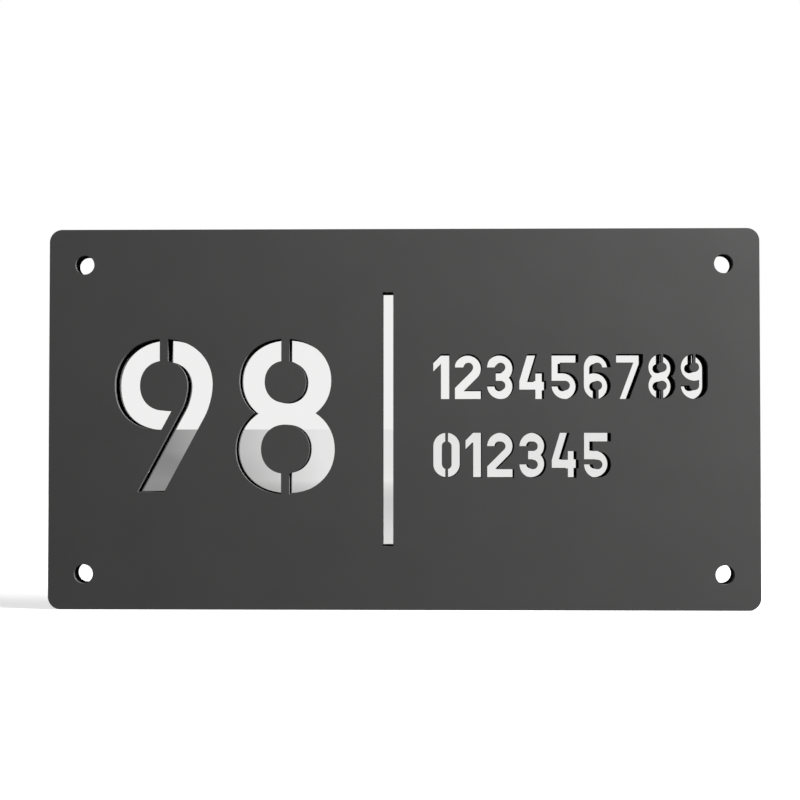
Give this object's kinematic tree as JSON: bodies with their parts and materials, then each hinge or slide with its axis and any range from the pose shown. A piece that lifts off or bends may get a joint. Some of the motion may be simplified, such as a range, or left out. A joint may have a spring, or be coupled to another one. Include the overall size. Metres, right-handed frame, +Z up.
{
  "type": "house number plaque",
  "caption": "Rectangular wall plaque: matt front sheet with stencil-cut figures and a dividing line, bonded to a mirror sheet that shows through them.",
  "frame": {"origin": "middle of the plaque's back, on the wall", "axes": "+X to the reader's right, +Z up, +Y into the wall; the figures face -Y"},
  "size_m": [0.28, 0.0082, 0.15],
  "materials": {
    "matt_acrylic": "matt dark grey",
    "clear_acrylic": "clear, polished",
    "silvering": "silvered front, grey back coat"
  },
  "bodies": {
    "root": {"front_panel": "matt_acrylic", "mirror_panel": "clear_acrylic", "mirror_backing": "silvering"}
  },
  "joints": []
}
